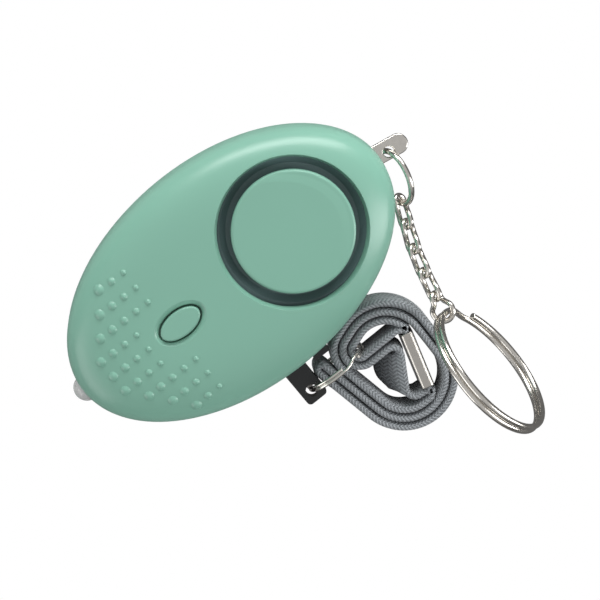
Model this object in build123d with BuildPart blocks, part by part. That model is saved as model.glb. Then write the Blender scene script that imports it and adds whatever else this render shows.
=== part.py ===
from build123d import *
from itertools import pairwise
from math import acos, atan2, cos, degrees, dist, hypot, radians, sin
import os

# A keyring alarm that lies on its back: +X runs along the case from the lamp to the lug, +Z is up
# through the sounder, and the origin is on the back face under the middle of the case.
os.makedirs("parts", exist_ok=True)

# Case
case_length = 68.0
case_width = 42.0
rear_depth = 9.0
front_depth = 11.0
wall = 1.6
parting_height = rear_depth
front_roundness = 4.0
rear_roundness = 2.6
front_flat_share = 0.12
rear_flat_share = 0.35
dome_steps = 9
parting_groove = 0.25
lip_height = 1.0
lip_thickness = 0.8
fit_clearance = 0.1
running_clearance = 0.3
overrun = 2.0

# Screws
screw_radius = 0.8
screw_head_radius = 1.7
screw_head_height = 1.3
screw_seat_height = 4.2
screw_length = 9.0
screw_boss_radius = 2.2
screw_post_radius = 2.7
screw_clearance = 0.15
narrow_screw_x = -21.0
narrow_screw_y = 8.5
wide_screw_turn = 100.0

# Sounder
sounder_x = 14.0
slot_radius = 13.9
slot_base_radius = 13.0
chamber_radius = 14.6
chamber_wall = 1.4
chamber_mouth_height = 11.0
ring_floor_height = 14.4
ring_floor_thickness = 1.2
ring_rim_height = 2.4
ring_trough_radius = 11.9
ring_bore_radius = 9.0
cap_radius = 11.0
cap_top_height = 19.5
cap_thickness = 1.4
cap_edge_round = 0.5
skirt_radius = 10.2
skirt_thickness = 1.0
sound_port_width = 3.0
sound_port_height = 1.2
sound_port_count = 8
piezo_radius = 13.5
piezo_thickness = 0.4
ceramic_radius = 9.5
ceramic_thickness = 0.4
gasket_thickness = 1.2
gasket_bore_radius = 11.5

# Lamp button
button_x = -11.6
button_length = 8.2
button_width = 4.5
button_gap = 0.38
button_proud = 0.15
button_edge_round = 0.3
button_flange = 0.7
button_flange_thickness = 0.9
button_travel = 0.8
halo_width = 0.85
halo_depth = 0.55
stem_radius = 1.5
switch_size = 6.0
switch_height = 3.5
plunger_radius = 1.7
plunger_height = 2.6

# Grip dots
dot_first_x = -18.8
dot_pitch_x = 2.65
dot_pitch_y = 3.3
dot_row_spans = {0: (0, 3), 1: (0, 3), 2: (-2, 2), 3: (-2, 1), 4: (-2, 0)}
dot_height = 0.32
dot_smallest_radius = 0.5
dot_largest_radius = 0.88
dot_seat_latitude = 10

# Lamp
lamp_radius = 2.5
lamp_proud = 2.2
lamp_length = 8.6
lamp_flange_radius = 2.9
lamp_flange_thickness = 1.0
lead_radius = 0.25
lead_pitch = 2.54
lead_bend_radius = 1.2
lead_board_x = -22.5

# Circuit board and what it carries
board_length = 48.0
board_width = 27.2
board_thickness = 1.0
board_height = 3.0
board_post_radius = 1.5
board_post_x = 13.0
board_post_y = 7.0
board_notch_clearance = 0.5
cell_radius = 5.8
cell_thickness = 5.4
cell_count = 3
cell_start_x = -17.8
cell_y = 9.4
cell_lift = 0.2
cell_edge_round = 0.4
contact_thickness = 0.3
contact_width = 5.5
contact_height = 9.0
chip_length = 5.0
chip_width = 4.0
chip_height = 1.5
chip_x = 19.0
chip_y = -4.5
chip_leg_pitch = 1.27
chip_leg_width = 0.45
chip_leg_reach = 1.0
chip_leg_thickness = 0.2
coil_x = 9.0
coil_y = -6.0
coil_radius = 3.4
coil_height = 6.0
coil_flange_thickness = 0.8
winding_radius = 2.8
transistor_x = 16.0
transistor_y = 5.5
transistor_radius = 2.3
transistor_height = 4.8
transistor_flat = 1.2
transistor_leg_radius = 0.25
transistor_leg_length = 1.6
wire_radius = 0.4
wire_bend_radius = 2.0
wire_board_x = 22.0
wire_rise_x = 18.5
wire_y = 2.5

# Pull pin
pin_height = 9.0
pin_base_left = -4.45
pin_base_right = 5.0
pin_base_back = -18.2
pin_base_front = -20.5
pin_base_thickness = 2.2
pin_tab_width = 4.3
pin_tab_front = -28.6
pin_tab_thickness = 2.0
pin_tab_corner = 0.8
pin_hole_radius = 1.15
pin_hole_inset = 2.1
pin_ear_left = 1.8
pin_ear_front = -22.6
pin_tongue_width = 5.0
pin_tongue_tip = -9.5
pin_tongue_thickness = 1.0
pin_travel = 14.0
contact_leaf_width = 3.0
contact_leaf_tip = -13.0
contact_leaf_root = -6.0
contact_leaf_step = 1.8

# Wrist strap: a flat braided tape rolled up on its edge
tape_width = 8.8
tape_thickness = 1.25
tape_gap = 0.42
tape_lift = 0.55
tape_pitch = tape_thickness + tape_gap
upper_wheel = (12.7, -29.6)
upper_radius = 8.9
lower_wheel = (12.2, -36.0)
lower_radius = 9.3
eye_wheel = (9.2, -26.5)
eye_radius = 1.5
bight_wheel = (1.43, -25.0)
bight_radius = 0.85
eye_bend = (16.3, -28.75)
eye_bend_radius = 0.8
upper_bend = (13.2, -31.3)
upper_bend_radius = 1.6
lower_bend = (12.5, -38.7)
lower_bend_radius = 1.5
tail_bend = (13.55, -40.95)
tail_bend_radius = 1.0
crimp_top = (17.7, -29.3)
crimp_bottom = (14.65, -39.8)
crimp_wall = 0.4
crimp_clearance = 0.05
crimp_corner = 0.8
lap_thickness = 1.6
lap_reach = 0.7
lap_flare = 0.3
strand_squeeze = 0.1
gap_sample_step = 0.1
gap_skip = 5.0

# Pin ring
pin_ring_radius = 6.2
pin_ring_wire = 0.6
pin_ring_turn_gap = 0.06
pin_ring_x = 3.5
pin_ring_height = 6.8
strap_arch_radius = 2.5
strap_arch_height = 4.0
strap_arch_left = -1.0
strap_arch_right = 9.0

# Key lug
lug_root = (29.7, 0.4)
lug_turn = -9.7
lug_length = 10.3
lug_width = 3.7
lug_thickness = 0.8
lug_anchor_width = 5.0
lug_anchor_length = 1.0
lug_hole = (35.85, -1.1)
lug_hole_radius = 1.0
lug_edge_bevel = 0.15

# Jump ring
jump_wire = 1.1
jump_radius = 5.15
jump_normal = Vector(-0.847, 0.267, 0.393)
jump_reach = Vector(-0.397, -0.882, -0.256)

# Chain
chain_wire = 1.0
chain_play = 0.3
chain_width = 2.45
chain_last_width = 4.0
chain_pitches = (4.76, 4.76, 4.76, 4.76, 4.3)
chain_headings = (-112.2, -112.2, -106.3, -102.9, -102.9)
chain_slope = 10.4
chain_twist = -45.0
chain_last_twist = 24.0

# Key ring
key_ring_wire = 1.15
key_ring_radius = 13.1
key_ring_turn_gap = 0.08
key_ring_normal = Vector(0.935, 0.11, 0.34).normalized()
split_jog = 30.0
split_end_gap = 4.0
key_ring_split = 140.0
pin_ring_split = 60.0


def dome(half_length, half_width, depth, roundness, flat_share, mode=Mode.ADD):
    """Loft like ellipses that shrink along a superellipse, upwards or downwards from the parting plane."""
    sections = []
    for step in range(dome_steps + 1):
        turn = radians(90 * step / dome_steps)
        share = flat_share + (1 - flat_share) * max(cos(turn), 0) ** (2 / roundness)
        with BuildSketch(Plane.XY.offset(parting_height + depth * sin(turn) ** (2 / roundness))) as section:
            Ellipse(half_length * share, half_width * share)
        sections.append(section.sketch.face())
    loft(sections, ruled=True, mode=mode)


def front_height(x, y):
    """Height of the front cover's outside at a place on the plan."""
    share = hypot(2 * x / case_length, 2 * y / case_width)
    slope_share = max(share - front_flat_share, 0) / (1 - front_flat_share)
    return parting_height + front_depth * (1 - slope_share**front_roundness) ** (1 / front_roundness)


def turned(x, y, angle):
    return (x * cos(radians(angle)) - y * sin(radians(angle)), x * sin(radians(angle)) + y * cos(radians(angle)))


def belt_line(start, wheels, finish, offset=0):
    """Draw a tape's line round wheels, each a centre and a radius that is negative where it turns right.

    The offset is to the left of the tape's middle line. The return value lists the line's two ends and
    the middle of each straight run.
    """
    stops = [(start, -offset)] + [(centre, radius - offset) for centre, radius in wheels] + [(finish, -offset)]
    arrival = None
    run_middles = []
    for (centre, radius), (next_centre, next_radius) in pairwise(stops):
        heading = degrees(atan2(next_centre[1] - centre[1], next_centre[0] - centre[0]))
        lean = degrees(acos((next_radius - radius) / dist(centre, next_centre)))
        left = turned(1, 0, heading + lean)
        leave = (centre[0] - radius * left[0], centre[1] - radius * left[1])
        if arrival is None:
            first_end = leave
        else:
            first = degrees(atan2(arrival[1] - centre[1], arrival[0] - centre[0]))
            last = degrees(atan2(leave[1] - centre[1], leave[0] - centre[0]))
            sweep_angle = (last - first) % 360 if radius > 0 else -((first - last) % 360)
            CenterArc(centre, abs(radius), first, sweep_angle)
        arrival = (next_centre[0] - next_radius * left[0], next_centre[1] - next_radius * left[1])
        Line(leave, arrival)
        run_middles.append(((leave[0] + arrival[0]) / 2, (leave[1] + arrival[1]) / 2))
    return first_end, arrival, run_middles


def tape_face(start, wheels, finish):
    """Make the edge view of a tape in two stretches, which may overlap where both ends enter the crimp."""
    half = len(wheels) // 2
    with BuildLine():
        join = belt_line(start, wheels, finish)[2][half]
    for course in ((start, wheels[:half], join), (join, wheels[half:], finish)):
        with BuildLine() as outline:
            left_first, left_last, _ = belt_line(*course, tape_thickness / 2)
            right_first, right_last, _ = belt_line(*course, -tape_thickness / 2)
            Line(left_first, right_first)
            Line(left_last, right_last)
        make_face(outline.edges())


def split_ring(centre, normal, start, radius, wire, turn_gap, split_angle):
    """Sweep a ring of two turns side by side, with a jog between them where its two ends show."""
    rise = (wire + turn_gap) / 2
    start = start.rotate(Axis((0, 0, 0), normal), split_angle)
    with BuildLine(Plane(centre, x_dir=start, z_dir=normal)) as ring_line:
        first_turn = CenterArc((0, 0, -rise), radius, split_jog / 2 + split_end_gap, 360 - split_jog - split_end_gap)
        second_turn = CenterArc((0, 0, rise), radius, split_jog / 2, 360 - split_jog - split_end_gap)
        Spline(first_turn @ 1, second_turn @ 0, tangents=(first_turn % 1, second_turn % 0))
    with BuildSketch(Plane(first_turn @ 0, z_dir=first_turn % 0)) as section:
        Circle(wire / 2)
    sweep(section.sketch, path=ring_line.wires()[0])


def twisted_link(first_pivot, last_pivot, first_width, last_width, first_twist, last_twist):
    """Sweep a chain link whose two round ends are twisted about the line between its pivots."""
    reach = (chain_wire + chain_play) / 2
    run = last_pivot - first_pivot
    axis_plane = Plane(first_pivot, x_dir=run, z_dir=run.cross(Vector(0, 0, 1)).cross(run))
    for side in (1, -1):
        with BuildLine() as half_line:
            quarters = []
            for near, width, twist, position in (
                (1, first_width, first_twist, first_width / 2 - reach),
                (-1, last_width, last_twist, run.length + reach - last_width / 2),
            ):
                centre = axis_plane.origin + axis_plane.x_dir * position
                outward = axis_plane.x_dir * (-near * width / 2)
                sideways = axis_plane.y_dir.rotate(Axis((0, 0, 0), run), twist) * (side * width / 2)
                between = (outward + sideways) * cos(radians(45))
                quarters.append(ThreePointArc(centre + outward, centre + between, centre + sideways))
            Spline(quarters[0] @ 1, quarters[1] @ 1, tangents=(axis_plane.x_dir, axis_plane.x_dir))
        with BuildSketch(Plane(quarters[0] @ 0, z_dir=quarters[0] % 0)) as section:
            Circle(chain_wire / 2)
        sweep(section.sketch, path=half_line.wires()[0])


# Places that several pieces share
screw_circle_radius = chamber_radius + chamber_wall
wide_screw = turned(screw_circle_radius, 0, wide_screw_turn)
screw_places = [
    (narrow_screw_x, narrow_screw_y),
    (narrow_screw_x, -narrow_screw_y),
    (sounder_x + wide_screw[0], wide_screw[1]),
    (sounder_x + wide_screw[0], -wide_screw[1]),
]
board_top = board_height + board_thickness
lug_height = parting_height - lug_thickness
ring_floor_top = ring_floor_height + ring_floor_thickness
ring_top = ring_floor_height + ring_rim_height
inner_crown_height = parting_height + front_depth - wall
button_top_height = front_height(button_x, 0) + button_proud
flange_top_height = inner_crown_height - running_clearance
flange_height = flange_top_height - button_flange_thickness
plunger_foot_height = board_top + switch_height - button_travel - running_clearance + fit_clearance
plunger_top_height = plunger_foot_height + plunger_height
lamp_tip_x = -case_length / 2 - lamp_proud
pin_tab_x = pin_base_left + pin_tab_width / 2
pin_hole = (pin_tab_x, pin_tab_front + pin_hole_inset)

# The groove and the openings that the two covers share along the parting line
with BuildPart() as case_cuts:
    with BuildSketch(Plane.XY.offset(parting_height)):
        Ellipse(case_length / 2, case_width / 2)
        Ellipse(case_length / 2 - parting_groove, case_width / 2 - parting_groove, mode=Mode.SUBTRACT)
    extrude(amount=parting_groove / 2, both=True)
    with BuildSketch(Plane.YZ.offset(lamp_tip_x)):
        with Locations((0, parting_height)):
            Circle(lamp_radius + fit_clearance / 2)
    extrude(amount=lamp_proud + wall + overrun)
    with BuildSketch(Plane.XZ.offset(-pin_base_back - wall)):
        with Locations(((pin_base_left + pin_base_right) / 2, pin_height)):
            Rectangle(
                pin_base_right - pin_base_left + 2 * running_clearance,
                pin_base_thickness + 2 * running_clearance,
            )
    extrude(amount=pin_base_back - pin_base_front + wall + overrun)
    with BuildSketch(Plane.YZ.offset(lug_root[0] + lug_anchor_length)):
        slot_reach = case_length / 2 - wall - lug_root[0]
        with Locations((lug_root[1] + slot_reach * sin(radians(lug_turn)), lug_height)):
            Rectangle(lug_width + 3 * running_clearance, lug_thickness + fit_clearance, align=(Align.CENTER, Align.MIN))
    extrude(amount=lug_length)

with BuildPart() as front_shell:
    dome(case_length / 2, case_width / 2, front_depth, front_roundness, front_flat_share)
    dome(case_length / 2 - wall, case_width / 2 - wall, front_depth - wall, front_roundness, front_flat_share,
         Mode.SUBTRACT)

with BuildPart() as front_cover:
    with BuildSketch(Plane.XY.offset(chamber_mouth_height)):
        with Locations((sounder_x, 0)):
            Circle(chamber_radius + chamber_wall)
            Circle(chamber_radius, mode=Mode.SUBTRACT)
    extrude(amount=front_depth)
    with BuildSketch(Plane.XY.offset(parting_height)):
        with Locations(*screw_places):
            Circle(screw_boss_radius)
    extrude(amount=front_depth)
    dome(case_length / 2, case_width / 2, front_depth, front_roundness, front_flat_share, Mode.INTERSECT)
    add(front_shell.part)
    for row, (first, last) in dot_row_spans.items():
        for index in range(first, last + 1):
            for side in (1, -1) if row else (1,):
                dot_x = dot_first_x - index * dot_pitch_x
                dot_y = side * row * dot_pitch_y
                outward_share = (index - first) / (last - first)
                dot_radius = dot_smallest_radius + (dot_largest_radius - dot_smallest_radius) * outward_share
                ball_radius = (dot_radius**2 + dot_height**2) / (2 * dot_height)
                with Locations((dot_x, dot_y, front_height(dot_x, dot_y) + dot_height - ball_radius)):
                    Sphere(ball_radius, arc_size1=dot_seat_latitude, arc_size2=90, align=Align.NONE)
    with BuildSketch(Plane.XY.offset(chamber_mouth_height)):
        with Locations((sounder_x, 0)):
            Circle(chamber_radius)
    extrude(amount=ring_top - chamber_mouth_height, mode=Mode.SUBTRACT)
    with BuildSketch(Plane.XZ):
        with BuildLine():
            Polyline(
                (sounder_x, ring_top),
                (sounder_x + slot_base_radius, ring_top),
                (sounder_x + slot_radius, inner_crown_height + wall),
                (sounder_x, inner_crown_height + wall),
                close=True,
            )
        make_face()
    revolve(axis=Axis((sounder_x, 0, 0), (0, 0, 1)), mode=Mode.SUBTRACT)
    with BuildSketch(Plane.XY.offset(inner_crown_height - wall)):
        with Locations((button_x, 0)):
            Ellipse(button_length / 2 + button_gap, button_width / 2 + button_gap)
    extrude(amount=wall * 3, mode=Mode.SUBTRACT)
    for halo_share in (0, 1):
        with BuildSketch(Plane.XY.offset(front_height(button_x, 0) - halo_depth * (1 - halo_share))):
            with Locations((button_x, 0)):
                spread = button_gap + halo_width * halo_share
                Ellipse(button_length / 2 + spread, button_width / 2 + spread)
    loft(mode=Mode.SUBTRACT)
    with Locations(*[(x, y, parting_height) for x, y in screw_places]):
        Cylinder(
            screw_radius + fit_clearance / 2,
            screw_length - (parting_height - screw_seat_height) + fit_clearance,
            align=(Align.CENTER, Align.CENTER, Align.MIN),
            mode=Mode.SUBTRACT,
        )
    add(case_cuts.part, mode=Mode.SUBTRACT)
front_cover.part.label = "front_cover"

with BuildPart() as rear_shell:
    dome(case_length / 2, case_width / 2, -rear_depth, rear_roundness, rear_flat_share)
    dome(case_length / 2 - wall, case_width / 2 - wall, wall - rear_depth, rear_roundness, rear_flat_share,
         Mode.SUBTRACT)

with BuildPart() as rear_cover:
    with BuildSketch():
        with Locations(*screw_places):
            Circle(screw_post_radius)
    extrude(amount=parting_height)
    with BuildSketch():
        with GridLocations(2 * board_post_x, 2 * board_post_y, 2, 2):
            Circle(board_post_radius)
    extrude(amount=board_height)
    dome(case_length / 2, case_width / 2, -rear_depth, rear_roundness, rear_flat_share, Mode.INTERSECT)
    add(rear_shell.part)
    with BuildSketch(Plane.XY.offset(parting_height - lip_height)):
        Ellipse(case_length / 2 - wall - fit_clearance, case_width / 2 - wall - fit_clearance)
        Ellipse(
            case_length / 2 - wall - fit_clearance - lip_thickness,
            case_width / 2 - wall - fit_clearance - lip_thickness,
            mode=Mode.SUBTRACT,
        )
        with Locations(*screw_places):
            Circle(screw_boss_radius + running_clearance, mode=Mode.SUBTRACT)
    extrude(amount=2 * lip_height)
    with BuildSketch():
        with Locations(*screw_places):
            Circle(screw_head_radius + screw_clearance)
    extrude(amount=screw_seat_height, mode=Mode.SUBTRACT)
    with BuildSketch():
        with Locations(*screw_places):
            Circle(screw_radius + screw_clearance)
    extrude(amount=parting_height, mode=Mode.SUBTRACT)
    add(case_cuts.part, mode=Mode.SUBTRACT)
rear_cover.part.label = "rear_cover"

with BuildPart() as case_screws:
    with BuildSketch(Plane.XY.offset(screw_seat_height)):
        with Locations(*screw_places):
            Circle(screw_radius)
    extrude(amount=screw_length)
    with BuildSketch(Plane.XY.offset(screw_seat_height)):
        with Locations(*screw_places):
            Circle(screw_head_radius)
    extrude(amount=-screw_head_height)
    with BuildSketch(Plane.XY.offset(screw_seat_height - screw_head_height)):
        with Locations(*screw_places):
            Rectangle(2 * screw_radius, screw_radius / 2)
            Rectangle(screw_radius / 2, 2 * screw_radius)
    extrude(amount=screw_head_height / 2, mode=Mode.SUBTRACT)
case_screws.part.label = "case_screws"

# The dark ring under the front cover holds the cap up and the piezo disc down
with BuildPart() as sound_ring:
    with BuildSketch(Plane.XZ):
        with BuildLine():
            Polyline(
                (sounder_x + ring_bore_radius, ring_floor_height),
                (sounder_x + chamber_radius - fit_clearance, ring_floor_height),
                (sounder_x + chamber_radius - fit_clearance, ring_top),
                (sounder_x + slot_base_radius, ring_top),
                (sounder_x + ring_trough_radius, ring_floor_top),
                (sounder_x + ring_bore_radius, ring_floor_top),
                close=True,
            )
        make_face()
    revolve(axis=Axis((sounder_x, 0, 0), (0, 0, 1)))
sound_ring.part.label = "sound_ring"

with BuildPart() as speaker_cap:
    with BuildSketch(Plane.XY.offset(cap_top_height)):
        with Locations((sounder_x, 0)):
            Circle(cap_radius)
    extrude(amount=-cap_thickness)
    fillet(speaker_cap.edges().group_by(Axis.Z)[-1], cap_edge_round)
    with BuildSketch(Plane.XY.offset(ring_floor_top)):
        with Locations((sounder_x, 0)):
            Circle(skirt_radius)
            Circle(skirt_radius - skirt_thickness, mode=Mode.SUBTRACT)
    extrude(amount=cap_top_height - cap_thickness - ring_floor_top)
    with BuildSketch(Plane.XY.offset(ring_floor_top)):
        with Locations((sounder_x, 0)):
            with PolarLocations(skirt_radius, sound_port_count):
                Rectangle(2 * skirt_thickness + overrun, sound_port_width)
    extrude(amount=sound_port_height, mode=Mode.SUBTRACT)
speaker_cap.part.label = "speaker_cap"

with BuildPart() as piezo_gasket:
    with BuildSketch(Plane.XY.offset(ring_floor_height)):
        with Locations((sounder_x, 0)):
            Circle(chamber_radius - running_clearance)
            Circle(gasket_bore_radius, mode=Mode.SUBTRACT)
    extrude(amount=-gasket_thickness)
piezo_gasket.part.label = "piezo_gasket"

piezo_top = ring_floor_height - gasket_thickness
with BuildPart() as piezo_plate:
    with BuildSketch(Plane.XY.offset(piezo_top)):
        with Locations((sounder_x, 0)):
            Circle(piezo_radius)
    extrude(amount=-piezo_thickness)
piezo_plate.part.label = "piezo_plate"

with BuildPart() as piezo_ceramic:
    with BuildSketch(Plane.XY.offset(piezo_top - piezo_thickness)):
        with Locations((sounder_x, 0)):
            Circle(ceramic_radius)
    extrude(amount=-ceramic_thickness)
piezo_ceramic.part.label = "piezo_ceramic"

with BuildPart() as led_button:
    with BuildSketch(Plane.XY.offset(flange_top_height)):
        with Locations((button_x, 0)):
            Ellipse(button_length / 2, button_width / 2)
    extrude(amount=button_top_height - flange_top_height)
    fillet(led_button.edges().group_by(Axis.Z)[-1], button_edge_round)
    with BuildSketch(Plane.XY.offset(flange_height)):
        with Locations((button_x, 0)):
            Ellipse(button_length / 2 + button_flange, button_width / 2 + button_flange)
    extrude(amount=button_flange_thickness)
    with BuildSketch(Plane.XY.offset(plunger_top_height)):
        with Locations((button_x, 0)):
            Circle(stem_radius)
    extrude(amount=flange_height - plunger_top_height)
led_button.part.label = "led_button"

with BuildPart() as switch_plunger:
    with BuildSketch(Plane.XY.offset(plunger_foot_height)):
        with Locations((button_x, 0)):
            Circle(plunger_radius)
    extrude(amount=plunger_height)
    chamfer(switch_plunger.edges().group_by(Axis.Z)[-1], fit_clearance)
switch_plunger.part.label = "switch_plunger"

with BuildPart() as button_switch:
    with BuildSketch(Plane.XY.offset(board_top)):
        with Locations((button_x, 0)):
            Rectangle(switch_size, switch_size)
    extrude(amount=switch_height)
    with BuildSketch(Plane.XY.offset(plunger_foot_height - button_travel - fit_clearance)):
        with Locations((button_x, 0)):
            Circle(plunger_radius + fit_clearance)
    extrude(amount=switch_height, mode=Mode.SUBTRACT)
button_switch.part.label = "button_switch"

with BuildPart() as led_lamp:
    with BuildSketch(Plane.XZ):
        with BuildLine():
            nose = RadiusArc(
                (lamp_tip_x, parting_height),
                (lamp_tip_x + lamp_radius, parting_height + lamp_radius),
                lamp_radius,
            )
            Polyline(
                nose @ 1,
                (lamp_tip_x + lamp_length - lamp_flange_thickness, parting_height + lamp_radius),
                (lamp_tip_x + lamp_length - lamp_flange_thickness, parting_height + lamp_flange_radius),
                (lamp_tip_x + lamp_length, parting_height + lamp_flange_radius),
                (lamp_tip_x + lamp_length, parting_height),
                nose @ 0,
            )
        make_face()
    revolve(axis=Axis((lamp_tip_x, 0, parting_height), (1, 0, 0)))
led_lamp.part.label = "led_lamp"

with BuildPart() as led_leads:
    for side in (1, -1):
        with BuildLine():
            lead_path = FilletPolyline(
                (lamp_tip_x + lamp_length, side * lead_pitch / 2, parting_height),
                (lead_board_x, side * lead_pitch / 2, parting_height),
                (lead_board_x, side * lead_pitch / 2, board_top),
                radius=lead_bend_radius,
            )
        with BuildSketch(Plane(lead_path @ 0, z_dir=lead_path % 0)):
            Circle(lead_radius)
        sweep()
led_leads.part.label = "led_leads"

with BuildPart() as circuit_board:
    with BuildSketch(Plane.XY.offset(board_height)):
        Ellipse(board_length / 2, board_width / 2)
        with Locations(*screw_places):
            Circle(screw_post_radius + board_notch_clearance, mode=Mode.SUBTRACT)
    extrude(amount=board_thickness)
circuit_board.part.label = "circuit_board"

cell_height = board_top + cell_lift + cell_radius
with BuildPart() as button_cells:
    for index in range(cell_count):
        with BuildSketch(Plane.YZ.offset(cell_start_x + index * cell_thickness)):
            with Locations((cell_y, cell_height)):
                Circle(cell_radius)
        extrude(amount=cell_thickness - fit_clearance)
    chamfer(button_cells.edges().filter_by(GeomType.CIRCLE), cell_edge_round)
button_cells.part.label = "button_cells"

cell_end_x = cell_start_x + cell_count * cell_thickness
with BuildPart() as cell_contacts:
    for contact_x in (cell_start_x - fit_clearance - contact_thickness, cell_end_x):
        with BuildSketch(Plane.YZ.offset(contact_x)):
            with Locations((cell_y, board_top)):
                Rectangle(contact_width, contact_height, align=(Align.CENTER, Align.MIN))
        extrude(amount=contact_thickness)
cell_contacts.part.label = "cell_contacts"

with BuildPart() as driver_chip:
    with BuildSketch(Plane.XY.offset(board_top + chip_leg_thickness)):
        with Locations((chip_x, chip_y)):
            Rectangle(chip_length, chip_width)
    extrude(amount=chip_height, taper=5)
    with BuildSketch(Plane.XY.offset(board_top)):
        with Locations((chip_x, chip_y)):
            with GridLocations(chip_leg_pitch, 0, 4, 1):
                Rectangle(chip_leg_width, chip_width + 2 * chip_leg_reach)
    extrude(amount=chip_leg_thickness)
driver_chip.part.label = "driver_chip"

with BuildPart() as boost_coil:
    with BuildSketch(Plane.XY.offset(board_top)):
        with Locations((coil_x, coil_y)):
            Circle(coil_radius)
    extrude(amount=coil_height)
    with BuildSketch(Plane.XY.offset(board_top + coil_flange_thickness)):
        with Locations((coil_x, coil_y)):
            Circle(coil_radius)
            Circle(winding_radius - wire_radius, mode=Mode.SUBTRACT)
    extrude(amount=coil_height - 2 * coil_flange_thickness, mode=Mode.SUBTRACT)
boost_coil.part.label = "boost_coil"

with BuildPart() as coil_winding:
    with BuildSketch(Plane.XY.offset(board_top + coil_flange_thickness)):
        with Locations((coil_x, coil_y)):
            Circle(winding_radius)
            Circle(winding_radius - wire_radius, mode=Mode.SUBTRACT)
    extrude(amount=coil_height - 2 * coil_flange_thickness)
coil_winding.part.label = "coil_winding"

with BuildPart() as transistor:
    with BuildSketch(Plane.XY.offset(board_top + transistor_leg_length)):
        with Locations((transistor_x, transistor_y)):
            Circle(transistor_radius)
        with Locations((transistor_x, transistor_y + transistor_flat)):
            Rectangle(2 * transistor_radius, transistor_radius, align=(Align.CENTER, Align.MIN), mode=Mode.SUBTRACT)
    extrude(amount=transistor_height)
    with BuildSketch(Plane.XY.offset(board_top)):
        with Locations((transistor_x, transistor_y)):
            with GridLocations(chip_leg_pitch, 0, 3, 1):
                Circle(transistor_leg_radius)
    extrude(amount=transistor_leg_length)
transistor.part.label = "transistor"

with BuildPart() as piezo_wires:
    for side in (1, -1):
        with BuildLine():
            wire_path = FilletPolyline(
                (wire_rise_x, side * wire_y, piezo_top - piezo_thickness - ceramic_thickness),
                (wire_rise_x, side * wire_y, board_top + wire_bend_radius * 2),
                (wire_board_x, side * wire_y, board_top + wire_bend_radius * 2),
                (wire_board_x, side * wire_y, board_top),
                radius=wire_bend_radius * 0.8,
            )
        with BuildSketch(Plane(wire_path @ 0, z_dir=wire_path % 0)):
            Circle(wire_radius)
        sweep()
piezo_wires.part.label = "piezo_wires"

# Two sprung leaves close on each other when the tongue of the pull pin comes out
with BuildPart() as pin_contacts:
    leaf_rest = pin_tongue_thickness / 2 + running_clearance
    for side, step in ((-1, 0), (1, contact_leaf_step)):
        leaf_z = pin_height + side * (leaf_rest + contact_thickness / 2)
        with BuildSketch(Plane.YZ.offset(-contact_leaf_width / 2)):
            with BuildLine():
                Polyline(
                    (contact_leaf_root + step, board_top),
                    (contact_leaf_root + step, leaf_z),
                    (contact_leaf_tip, leaf_z),
                )
            trace(line_width=contact_thickness)
        extrude(amount=contact_leaf_width)
pin_contacts.part.label = "pin_contacts"

with BuildPart() as pull_pin:
    with BuildSketch(Plane.XY.offset(pin_height - pin_base_thickness / 2)):
        with Locations((pin_base_left, pin_base_front)):
            Rectangle(
                pin_base_right - pin_base_left, pin_base_back - pin_base_front, align=(Align.MIN, Align.MIN)
            )
    extrude(amount=pin_base_thickness)
    with BuildSketch(Plane.XY.offset(pin_height - pin_tab_thickness / 2)):
        with Locations((pin_base_left, pin_tab_front)):
            Rectangle(pin_tab_width, pin_base_front - pin_tab_front, align=(Align.MIN, Align.MIN))
        with Locations((pin_ear_left, pin_ear_front)):
            Rectangle(pin_base_right - pin_ear_left, pin_base_front - pin_ear_front, align=(Align.MIN, Align.MIN))
        with Locations(pin_hole):
            Circle(pin_hole_radius, mode=Mode.SUBTRACT)
    extrude(amount=pin_tab_thickness)
    with BuildSketch(Plane.XY.offset(pin_height - pin_tongue_thickness / 2)):
        with Locations((0, pin_base_back)):
            Rectangle(pin_tongue_width, pin_tongue_tip - pin_base_back, align=(Align.CENTER, Align.MIN))
    extrude(amount=pin_tongue_thickness)
    fillet(pull_pin.edges().filter_by(Axis.Z).group_by(Axis.Y)[0], pin_tab_corner)
pull_pin.part.label = "pull_pin"

with BuildPart() as pin_ring:
    split_ring(
        Vector(pin_ring_x, pin_hole[1], pin_ring_height), Vector(0, -1, 0), Vector(1, 0, 0),
        pin_ring_radius, pin_ring_wire, pin_ring_turn_gap, pin_ring_split,
    )
pin_ring.part.label = "pin_ring"

# The tape starts in the crimp's top, makes the small eye, runs back through the crimp, doubles round
# twice with a bight beside the pin, and ends in the crimp's bottom
lap_run = Vector(*crimp_bottom) - Vector(*crimp_top)
lap_along = lap_run.normalized()
lap_side = Vector(-lap_along.Y, lap_along.X)


def lap_place(along, across):
    place = Vector(*crimp_top) + lap_along * along + lap_side * across
    return (place.X, place.Y)


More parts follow.
